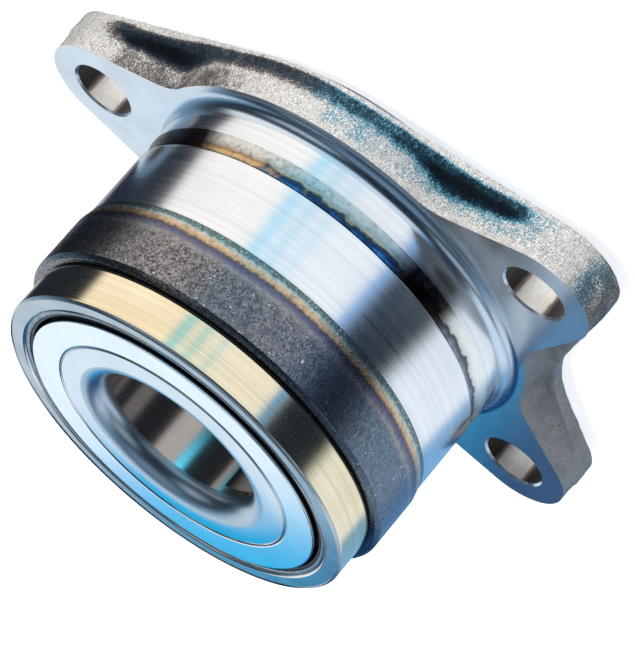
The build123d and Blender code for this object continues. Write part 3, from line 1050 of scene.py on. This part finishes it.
def painted_shade_share():
    """Painted shade on the flank, coloured as scale: 0 where it is left bright, 1 and more in the
    valley.

    Rows are directions round the axis, and columns run down the flank from 0 at the faced front
    to 1 at the rear face.  The painted shade is widest in the pockets beside the lugs, and a
    bright rim lies behind it.
    """
    down = np.linspace(0, 1, SKIN_STEPS)[None, :]
    around = np.degrees(TURN)[:, None]
    turn = (around + 90) % 360 - 90
    lugs = [UPPER_HOLE_ANGLE, 180 - UPPER_HOLE_ANGLE, LOWER_HOLE_ANGLE, 180 - LOWER_HOLE_ANGLE]
    apart = (around - np.array(lugs) + 180) % 360 - 180
    off_lug = np.abs(apart).min(axis=1)[:, None]
    pocket = hill(off_lug, 23, 11)
    beside_lug = rise(off_lug, 10, 5)
    upper_part = rise(turn, 20, 8) * fall(turn, 160, 8)

    # Painted shade in the valley between the cleaned crown and the bright rim, and a painted shadow
    # along the rim's back edge
    top = 0.50 - 0.25 * pocket
    below_top = smooth_step((down - top) / 0.26 + 0.5)
    above_rim = smooth_step((0.80 - down) / 0.08 + 0.5)
    painted_shade = below_top * above_rim * beside_lug * upper_part
    painted_shade = painted_shade * (0.82 + 0.45 * (hill(down, 0.5, 0.16) * pocket))
    back_edge_shade = 0.55 * rise(down, 0.94, 0.04) * beside_lug * upper_part

    # Thinner painted shade: painted blue light on the first half between the upper lugs, a painted
    # shadow on the second, and painted shade over the lugs
    blue_light_patch = 0.24 * rise(turn, 27, 5) * fall(turn, 88, 14) * rise(down, 0.04, 0.14) * above_rim
    lug_corner_shade = 0.50 * rise(turn, 96, 22) * fall(turn, 150, 10) * np.clip(1 - down / 0.7, 0, 1) ** 0.5
    past_lug = np.abs(turn - 90) - (90 - UPPER_HOLE_ANGLE)
    cap = 0.50 * rise(past_lug, -5, 4) * fall(past_lug, 18, 6)
    return np.maximum.reduce(np.broadcast_arrays(painted_shade, blue_light_patch, lug_corner_shade, cap, back_edge_shade))


def skin_share():
    """How freely the forged skin may swell down the flank: not at all at its two edges."""
    steps = np.arange(SKIN_STEPS)
    return np.clip(np.minimum(steps / 2.0, (SKIN_STEPS - 1 - steps) / 3.0), 0, 1)


def hole_shade(places):
    """Points on the holes' walls, and how dark each is: 0 on the side that the light reaches."""
    light = radians(HOLE_LIGHT)
    for hole in BOLT_HOLES:
        dx, dy = places[:, 0] - hole[0], places[:, 1] - hole[1]
        out = np.hypot(dx, dy)
        on_wall = np.abs(out - BOLT_HOLE_RADIUS) < 0.1
        off_light = np.degrees(np.arccos((cos(light) * dx + sin(light) * dy) / out))
        yield on_wall, rise(off_light[on_wall], HOLE_LIT_HALF, HOLE_DUSK)


def ring_of(centre, radius, height, steps):
    """Points evenly round a level circle."""
    turns = np.arange(steps) * 2 * pi / steps
    flat = np.stack([centre[0] + radius * np.cos(turns), centre[1] + radius * np.sin(turns)], -1)
    return np.column_stack([flat, np.full(steps, height)])


def flat_face(loops, reach, inner_radius, hole_radius):
    """Triangles over a flat face between its rim, the turned ring and the bolt holes."""
    edges, start = [], 0
    for places in loops:
        count = len(places)
        edges += [(start + i, start + (i + 1) % count) for i in range(count)]
        start += count
    flat = [tuple(point) for places in loops for point in places[:, :2]]
    spots, _, faces, origins, _, _ = delaunay_2d_cdt(flat, edges, [], 0, 1e-7)
    kept = []
    for face in faces:
        x, y = np.mean([spots[i] for i in face], axis=0)
        turn = np.arctan2(y, x) % (2 * pi)
        limit = np.interp(turn, np.r_[TURN, 2 * pi], np.r_[reach, reach[0]])
        open_hole = any(np.hypot(x - hx, y - hy) < hole_radius for hx, hy in BOLT_HOLES)
        if inner_radius < np.hypot(x, y) < limit and not open_hole:
            kept.append([origins[i][0] for i in face])
    return kept


class Shell:
    """Points, faces and finishes gathered for one closed piece."""

    def __init__(self):
        self.places, self.polygons, self.slots, self.total = [], [], [], 0

    def add_points(self, places):
        """Take points in and give the number of the first."""
        first = self.total
        self.places.append(places)
        self.total += len(places)
        return first

    def add_faces(self, faces, slot):
        self.polygons += faces
        self.slots += [slot] * len(faces)

    def tube(self, slot, *rings):
        """Join rings of equal count one below the other, and give the numbers of both ends."""
        around = np.arange(len(rings[0]))
        after = np.roll(around, -1)
        first = self.add_points(np.concatenate(rings))
        for level in range(len(rings) - 1):
            above = first + level * len(around)
            below = above + len(around)
            quads = np.stack([above + around, above + after, below + after, below + around], -1)
            self.add_faces(quads.tolist(), slot)
        return first + around, self.total - len(around) + around

    def cap(self, loops, reach, hole_radius, upwards):
        """Close the shell with a flat face between loops of its points."""
        every = np.concatenate(self.places)
        names = np.concatenate(loops)
        kept = flat_face([every[loop] for loop in loops], reach, HUB_INSIDE, hole_radius)
        for face in kept:
            a, b, c = (every[names[i]][:2] for i in face)
            left = (b[0] - a[0]) * (c[1] - a[1]) - (c[0] - a[0]) * (b[1] - a[1]) > 0
            order = face if left == upwards else face[::-1]
            self.add_faces([[int(names[i]) for i in order]], FACED_SLOT)


def flange():
    """Faced front, forged flank, rear face and bolt holes in one closed piece."""
    grid = flank_grid()
    flank = np.empty((FLANGE_STEPS, SKIN_STEPS, 3))
    flank[..., :2] = AROUND[:, None, :] * grid[..., :1]
    flank[..., 2] = grid[..., 1]
    shell = Shell()
    shell.add_points(flank.reshape(-1, 3))
    starts = np.arange(FLANGE_STEPS) * SKIN_STEPS
    here, there = starts[:, None], np.roll(starts, -1)[:, None]
    down = np.arange(SKIN_STEPS - 1)
    quads = np.stack([here + down, here + down + 1, there + down + 1, there + down], -1)
    shell.add_faces(quads.reshape(-1, 4).tolist(), FORGED_SLOT)

    hub = [ring_of((0, 0), HUB_INSIDE, z, HUB_STEPS) for z in (FLANGE_THICKNESS, 0.0)]
    hub_top, hub_low = shell.tube(FACED_SLOT, *hub)
    top_loops, low_loops = [starts, hub_top], [starts + SKIN_STEPS - 1, hub_low]
    wide, back = BOLT_HOLE_RADIUS + HOLE_CHAMFER, BOLT_HOLE_RADIUS + HOLE_BACK_EDGE
    deep = (BOLT_HOLE_RADIUS, FLANGE_THICKNESS - HOLE_CHAMFER)
    halfway = (BOLT_HOLE_RADIUS, FLANGE_THICKNESS * 0.5)
    near_back = (BOLT_HOLE_RADIUS, HOLE_BACK_EDGE)
    for hole in BOLT_HOLES:
        chamfer = [ring_of(hole, *at, HOLE_STEPS) for at in ((wide, FLANGE_THICKNESS), deep)]
        wall = [ring_of(hole, *at, HOLE_STEPS) for at in (deep, halfway, near_back, (back, 0.0))]
        top_loops.append(shell.tube(FACED_SLOT, *chamfer)[0])
        low_loops.append(shell.tube(HOLE_SLOT, *wall)[1])
    shell.cap(top_loops, grid[:, 0, 0], wide, True)
    shell.cap(low_loops, grid[:, -1, 0], back, False)

    every = np.concatenate(shell.places)
    finishes = (FORGED, FACED, HOLE)
    made = mesh_piece("flange", every, shell.polygons, finishes, shell.slots, FLANGE_SHARP)
    # The second value carries the painted shade of the flank and of the bolt holes' walls.
    skin, painted_shade = np.zeros(len(every)), np.zeros(len(every))
    skin[: flank.size // 3] = np.tile(skin_share(), FLANGE_STEPS)
    painted_shade[: flank.size // 3] = painted_shade_share().reshape(-1)
    for on_wall, shade in hole_shade(every):
        painted_shade[on_wall] = shade
    for name, values in (("skin", skin), ("painted_shade", painted_shade)):
        attribute = made.data.attributes.new(name, "FLOAT", "POINT")
        attribute.data.foreach_set("value", values.astype(np.float32))
    return made


class Geometry:
    """A geometry tree with named inputs, built node by node."""

    def __init__(self, name, **inputs):
        self.tree = bpy.data.node_groups.new(name, "GeometryNodeTree")
        face = self.tree.interface
        face.new_socket("Geometry", in_out="INPUT", socket_type="NodeSocketGeometry")
        for key, value in inputs.items():
            kind = "NodeSocketInt" if isinstance(value, int) else "NodeSocketFloat"
            face.new_socket(key, in_out="INPUT", socket_type=kind).default_value = value
        face.new_socket("Geometry", in_out="OUTPUT", socket_type="NodeSocketGeometry")
        self.start = self.tree.nodes.new("NodeGroupInput").outputs

    def add(self, kind, links=(), **settings):
        """A node's first output; links pairs an input's name or number with what feeds it."""
        made = self.tree.nodes.new(kind)
        for key, value in settings.items():
            setattr(made, key, value)
        for key, value in links:
            socket = made.inputs[key]
            if isinstance(value, bpy.types.NodeSocket):
                self.tree.links.new(value, socket)
            else:
                socket.default_value = value
        return made.outputs[0]

    def math(self, operation, first, second):
        return self.add("ShaderNodeMath", [(0, first), (1, second)], operation=operation)

    def close(self, shape, finish, *selection):
        """End the tree: make instances real and give the faces their finish."""
        real = self.add("GeometryNodeRealizeInstances", [("Geometry", shape)])
        links = [("Geometry", real), ("Material", finish), *selection]
        finished = self.add("GeometryNodeSetMaterial", links)
        self.tree.links.new(finished, self.tree.nodes.new("NodeGroupOutput").inputs["Geometry"])
        return self

    def apply_to(self, made, **values):
        """Run the tree on an object and keep its result as a plain mesh."""
        modifier = made.modifiers.new("shape", "NODES")
        modifier.node_group = self.tree
        for item in self.tree.interface.items_tree:
            if item.in_out == "INPUT" and item.name in values:
                modifier[item.identifier] = values[item.name]
        deps = bpy.context.evaluated_depsgraph_get()
        result = bpy.data.meshes.new_from_object(made.evaluated_get(deps))
        made.modifiers.remove(modifier)
        made.data = result
        return made


# Noise is taken off this share, so the skin sinks more than it swells and stays inside the box
MOSTLY_INWARDS = 0.64
NOISE_GAIN = 4


def forged_skin():
    """Moves points along their normals by two sizes of noise, as far as the skin value allows."""
    g = Geometry("forged skin", Swell=0.10, Grit=0.06, SwellSize=2.6, GritSize=0.7, Seed=7)
    normal = g.add("GeometryNodeInputNormal")
    place = g.add("GeometryNodeInputPosition")
    skin = g.add("GeometryNodeInputNamedAttribute", [("Name", "skin")], data_type="FLOAT")
    moved = 0.0
    for depth, size in (("Swell", "SwellSize"), ("Grit", "GritSize")):
        repeats = g.math("DIVIDE", PER_METRE, g.start[size])
        noise = g.add(
            "ShaderNodeTexNoise",
            [("Vector", place), ("Scale", repeats), ("W", g.start["Seed"]), ("Detail", 2.0)],
            noise_dimensions="4D",
        )
        height = g.math("SUBTRACT", noise, MOSTLY_INWARDS)
        moved = g.math("ADD", g.math("MULTIPLY", height, g.start[depth]), moved)
    share = g.math("MULTIPLY", g.math("MULTIPLY", moved, NOISE_GAIN * METRES), skin)
    offset = g.add("ShaderNodeVectorMath", [(0, normal), ("Scale", share)], operation="SCALE")
    shaped = g.add(
        "GeometryNodeSetPosition", [("Geometry", g.start["Geometry"]), ("Offset", offset)]
    )
    slot = g.add("GeometryNodeInputMaterialIndex")
    forged = g.add(
        "FunctionNodeCompare", [("A", slot), ("B", FORGED_SLOT)], data_type="INT", operation="EQUAL"
    )
    return g.close(shaped, FORGED, ("Selection", forged))


flange_piece = forged_skin().apply_to(flange(), Swell=0.07, Grit=0.035)
stand_for(flange_piece, "outer_ring", "forged_ring", "outer_ring")


# ---------------------------------------------------------------- balls and cages
def ball_ring():
    """Balls set out evenly on a circle, realised, with their finish."""
    g = Geometry("ball ring", Balls=13, PitchRadius=0.02, BallRadius=0.005, Height=0.0)
    spots = g.add(
        "GeometryNodeMeshCircle",
        [("Vertices", g.start["Balls"]), ("Radius", g.start["PitchRadius"])],
    )
    ball = g.add(
        "GeometryNodeMeshUVSphere",
        [("Segments", 48), ("Rings", 24), ("Radius", g.start["BallRadius"])],
    )
    smooth = g.add("GeometryNodeSetShadeSmooth", [("Geometry", ball)])
    placed = g.add("GeometryNodeInstanceOnPoints", [("Points", spots), ("Instance", smooth)])
    lift = g.add("ShaderNodeCombineXYZ", [("Z", g.start["Height"])])
    moved = g.add("GeometryNodeTransform", [("Geometry", placed), ("Translation", lift)])
    return g.close(moved, BALL)


for end_name, row in (("front", FRONT_ROW), ("rear", REAR_ROW)):
    balls = new_object(f"{end_name}_balls", bpy.data.meshes.new(f"{end_name}_balls"))
    ball_ring().apply_to(
        balls,
        Balls=BALLS_PER_ROW,
        PitchRadius=PITCH_RADIUS * METRES,
        BallRadius=BALL_DIAMETER / 2 * METRES,
        Height=row * METRES,
    )
    names = [f"{end_name}_ball_{number + 1:02d}" for number in range(BALLS_PER_ROW)]
    stand_for(balls, f"{end_name}_ball_row", "ball_steel", *names)
    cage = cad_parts[f"{end_name}_cage"]
    cage.data.materials.clear()
    cage.data.materials.append(CAGE)


# ---------------------------------------------------------------- studio
FLOOR_SIZE = 6000
FLOOR_GAP = 0.02
FLOOR_GLOW = 0.62

# What polished metal sees of the room: sheets of light with dark gaps between them.
# azimuth, half width, softness, lowest and highest elevation, colour times strength
LIGHT_SHEETS = (
    (250, 62, 14, -4, 60, (0.26, 0.45, 0.62)),
    (62, 34, 6, -80, 9, (1.02, 1.08, 1.14)),
    (127, 31, 4, -80, 9, (1.20, 1.18, 1.14)),
    (93, 2.4, 1.8, -80, 17, (0.34, 0.92, 1.24)),
    (82, 1.8, 1.8, -80, 17, (0.50, 0.90, 1.10)),
    (71, 1.2, 1.5, -80, 17, (0.62, 0.94, 1.12)),
    (29, 2.2, 1.6, -80, 12, (0.10, 0.42, 0.92)),
    (-45, 31, 7, -80, 22, (0.94, 1.04, 1.13)),
    (-97, 22, 8, -80, 10, (0.22, 0.48, 0.82)),
    (-84, 36, 8, 28, 46, (0.98, 1.04, 1.08)),
    (228, 8, 5, -80, 4, (0.62, 0.60, 0.72)),
    (122, 22, 8, 34, 56, (0.52, 0.64, 0.72)),
    (-10, 24, 8, 31, 52, (0.48, 0.57, 0.65)),
)
SHEET_EDGE = 5
ROOM = (0.016, 0.026, 0.042)
ZENITH = (0.25, 0.36, 0.45)
ZENITH_FROM, ZENITH_FULL = 62, 80
PLAIN_LEVEL = 0.55

# The card stands beside the bearing, and its colour changes along it and with height
CARD_AZIMUTH, CARD_DISTANCE, CARD_HALF = 236, 220, 170
CARD_FOOT, CARD_TOP = 15, 260
CARD_PALE, CARD_BLUE, CARD_DEEP = (0.94, 1.02, 1.08), (0.0, 0.48, 0.86), (0.0, 0.06, 0.20)
CARD_SLOPE, CARD_LEVEL = 2.2, 122
CARD_TURNS_BLUE, CARD_BLUE_FROM, CARD_TURNS_DEEP = (-13.0, 20.0), (-34.0, 4.0), (33.0, 58.0)

# The strip hangs just inside the bore: two glows on a dark ground, and a blue glint at its top.
# azimuth, half width where the light ends, half width where it is full, strength
STRIP_GLOWS = ((54, 30, 17, 0.46), (-54, 24, 8, 0.14))
GLINT_AZIMUTH, GLINT_END, GLINT_FULL = 88, 13, 4
GLINT_HEIGHTS = (31.0, 38.0)
STRIP_GAP = 0.4
STRIP_FOOT, STRIP_TOP = 14.0, 44.0
STRIP_START, STRIP_END, STRIP_STEPS = -80, 165, 60
STRIP_DARK, STRIP_GLOW = (0.008, 0.009, 0.012), (1.00, 0.94, 0.90)
STRIP_GLINT = (0.16, 1.10, 1.50)

LAMP_DISTANCE = 700
LAMP_SIZE = 400

SENSOR_WIDTH = 36
LENS = 231.02
CLIP_NEAR, CLIP_FAR = 0.05, 20
CAMERA_PLACE = (328.87, 487.75, 259.05)
CAMERA_RIGHT = (0.77097, -0.21628, -0.59902)
CAMERA_UP = (-0.37979, 0.59889, -0.70505)
CAMERA_BACK = (0.51123, 0.77107, 0.37959)


def sheet_piece(name, corners, faces, finish):
    """A thin sheet of the studio, from points in millimetres."""
    mesh = bpy.data.meshes.new(name)
    mesh.from_pydata([tuple(c * METRES for c in corner) for corner in corners], [], faces)
    mesh.materials.append(finish)
    return new_object(name, mesh)


def seen_in_metal_only(card):
    """Let a card show in reflections, and neither to the camera nor in shadows or lighting."""
    card.visible_camera = card.visible_diffuse = card.visible_shadow = False
    card.data.materials[0].cycles.emission_sampling = "NONE"
    return card


def placed(made, place, right, up, back):
    """Set an object at a place in millimetres, with its own axes along three given ways."""
    turn = Matrix((right, up, back)).transposed().to_4x4()
    made.matrix_world = Matrix.Translation([c * METRES for c in place]) @ turn
    return made


def lamp(name, azimuth, elevation, power, colour=(1, 1, 1)):
    """A soft square lamp that looks at the middle of the bearing and leaves no gleam."""
    data = bpy.data.lights.new(name, "AREA")
    data.size = LAMP_SIZE * METRES
    data.energy = power
    data.color = colour
    a, e = radians(azimuth), radians(elevation)
    back = np.array((cos(a) * cos(e), sin(a) * cos(e), sin(e)))
    side = np.cross((0, 0, 1), back)
    side = side / np.linalg.norm(side)
    place = np.array(MIDDLE) + back * LAMP_DISTANCE
    made = placed(new_object(name, data), place, side, np.cross(back, side), back)
    made.visible_glossy = False
    return made


def pale_floor():
    """A wide pale floor, just under the bearing, that looks white and stays out of reflections."""
    paper = Finish("pale floor")
    view_ray = paper.node("ShaderNodeLightPath").outputs["Is Camera Ray"]
    paper.set(
        Base_Color=(0.9, 0.9, 0.9),
        Roughness=0.9,
        Emission_Color=(1.0, 1.0, 1.0),
        Emission_Strength=paper.times(view_ray, FLOOR_GLOW),
    )
    half = FLOOR_SIZE / 2
    square = ((-half, -half), (half, -half), (half, half), (-half, half))
    corners = [(x, y, TAIL_END - FLOOR_GAP) for x, y in square]
    made = sheet_piece("floor", corners, [(0, 1, 2, 3)], paper.material)
    made.visible_glossy = False
    return made


def light_the_room():
    """World light: an even white, and for reflections the room with its sheets of light."""
    world = bpy.data.worlds.new("studio")
    bpy.context.scene.world = world
    world.use_nodes = True
    world.cycles.sampling_method = "NONE"
    air = Nodes(world.node_tree)
    x, y, z = air.split(air.node("ShaderNodeTexCoord").outputs["Generated"])
    seen = ROOM
    for azimuth, half, soft, low, high, colour in LIGHT_SHEETS:
        turned = air.turned_to(azimuth, x, y)
        inside = air.facing(turned, half + soft, max(half - soft, 0))
        above, below = (
            air.span(
                z, sin(radians(edge - SHEET_EDGE)), sin(radians(edge + SHEET_EDGE)), *ends, True
            )
            for edge, ends in ((low, (0.0, 1.0)), (high, (1.0, 0.0)))
        )
        seen = air.mix(air.times(inside, air.times(above, below)), seen, colour)
    overhead = air.span(z, sin(radians(ZENITH_FROM)), sin(radians(ZENITH_FULL)), smooth=True)
    seen = air.mix(overhead, seen, ZENITH)
    shine = air.node("ShaderNodeLightPath").outputs["Is Glossy Ray"]
    plain = (PLAIN_LEVEL, PLAIN_LEVEL, PLAIN_LEVEL)
    air.feed(world.node_tree.nodes["Background"].inputs["Color"], air.mix(shine, plain, seen))


def reflection_card():
    """An upright sheet that only the bearing's faces mirror: pale at one end, blue at the other."""
    azimuth = radians(CARD_AZIMUTH)
    out = np.array((cos(azimuth), sin(azimuth)))
    along = np.array((-sin(azimuth), cos(azimuth)))
    left, right = (out * CARD_DISTANCE + along * reach for reach in (-CARD_HALF, CARD_HALF))
    corners = [(*left, CARD_FOOT), (*right, CARD_FOOT), (*right, CARD_TOP), (*left, CARD_TOP)]
    material = bpy.data.materials.new("pale to blue card")
    material.use_nodes = True
    glow = Nodes(material.node_tree)
    glow.tree.nodes.clear()
    x, y, z = glow.split(glow.node("ShaderNodeTexCoord").outputs["Object"])
    reach = glow.add(glow.times(x, along[0] * PER_METRE), glow.times(y, along[1] * PER_METRE))
    height = glow.times(z, PER_METRE)
    lower = glow.math("MULTIPLY_ADD", height, -CARD_SLOPE, CARD_LEVEL * CARD_SLOPE)
    turned_blue = glow.times(
        glow.span(glow.add(reach, lower), *CARD_TURNS_BLUE, smooth=True),
        glow.span(reach, *CARD_BLUE_FROM, smooth=True),
    )
    colour = glow.mix(turned_blue, CARD_PALE, CARD_BLUE)
    colour = glow.mix(glow.span(reach, *CARD_TURNS_DEEP, smooth=True), colour, CARD_DEEP)
    shine = glow.node("ShaderNodeEmission")
    glow.feed(shine.inputs["Color"], colour)
    glow.feed(glow.node("ShaderNodeOutputMaterial").inputs["Surface"], shine.outputs[0])
    return seen_in_metal_only(sheet_piece("reflection_card", corners, [(0, 1, 2, 3)], material))


def bore_card():
    """A bent strip in the bore that only polished steel mirrors, so that its wall isn't black."""
    turns = np.radians(np.linspace(STRIP_START, STRIP_END, STRIP_STEPS))
    ring = np.stack([np.cos(turns), np.sin(turns)], -1) * (BORE_RADIUS - STRIP_GAP)
    corners = [(*spot, height) for height in (STRIP_FOOT, STRIP_TOP) for spot in ring]
    quads = [
        (i, i + 1, i + 1 + STRIP_STEPS, i + STRIP_STEPS) for i in range(STRIP_STEPS - 1)
    ]
    glow = Finish("bore strip")
    first, second = (
        glow.times(glow.facing(glow.side(azimuth), end, full), strength)
        for azimuth, end, full, strength in STRIP_GLOWS
    )
    glint = glow.times(
        glow.facing(glow.side(GLINT_AZIMUTH), GLINT_END, GLINT_FULL, smooth=False),
        glow.span(glow.height(), *GLINT_HEIGHTS),
    )
    colour = glow.mix(glow.add(first, second), STRIP_DARK, STRIP_GLOW)
    colour = glow.mix(glint, colour, STRIP_GLINT)
    glow.set(Base_Color=(0, 0, 0), Emission_Color=colour, Emission_Strength=1.0)
    return seen_in_metal_only(sheet_piece("bore_card", corners, quads, glow.material))


light_the_room()
floor = pale_floor()
cards = [reflection_card(), bore_card()]
lamps = [
    lamp("key", 92, 46, 8.5),
    lamp("fill", 230, 25, 2.0, (0.85, 0.93, 1.0)),
]

camera_data = bpy.data.cameras.new("camera")
camera_data.sensor_width = SENSOR_WIDTH
camera_data.lens = LENS
camera_data.clip_start, camera_data.clip_end = CLIP_NEAR, CLIP_FAR
camera = placed(
    new_object("camera", camera_data), CAMERA_PLACE, CAMERA_RIGHT, CAMERA_UP, CAMERA_BACK
)
bpy.context.scene.camera = camera
bpy.context.scene.view_settings.view_transform = "Standard"
